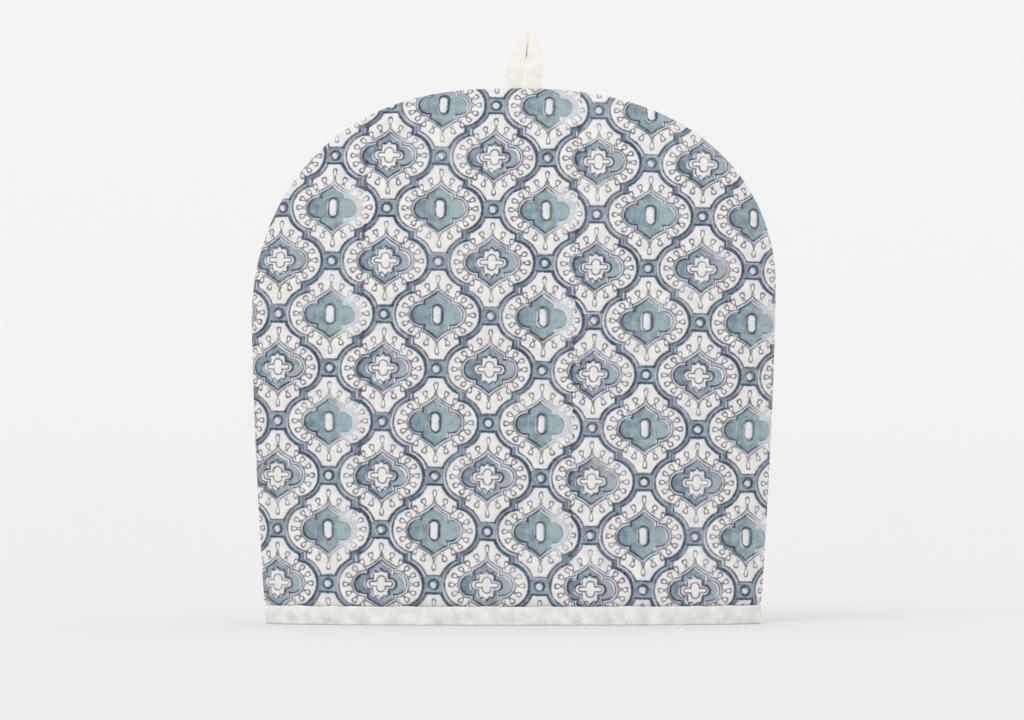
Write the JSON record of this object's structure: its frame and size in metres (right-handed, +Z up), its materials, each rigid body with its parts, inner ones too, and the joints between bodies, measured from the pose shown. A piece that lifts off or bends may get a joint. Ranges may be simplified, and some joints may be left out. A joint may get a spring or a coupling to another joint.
{
  "type": "tea cosy",
  "caption": "Dome-shaped tea cosy of block-printed cotton, two wadded panels with a white bound hem and a white hanging loop, standing hollow on its hem.",
  "frame": {"origin": "on the ground under the middle of the mouth, at the bottom centre of the whole part", "axes": "+Z up from the hem to the loop, +X to the right of the front panel, the front panel faces -Y"},
  "size_m": [0.3, 0.0882, 0.3395],
  "materials": {
    "printed_cotton": "matte plain-weave cotton, hand block printed in blue-grey and navy on off-white",
    "white_binding": "matte white cotton, the print under it showing through faintly",
    "white_strap": "matte warm white cotton strap"
  },
  "bodies": {
    "root": {"front_panel": "printed_cotton", "back_panel": "printed_cotton", "hem_band": "white_binding", "hanging_loop": "white_strap"}
  },
  "joints": []
}
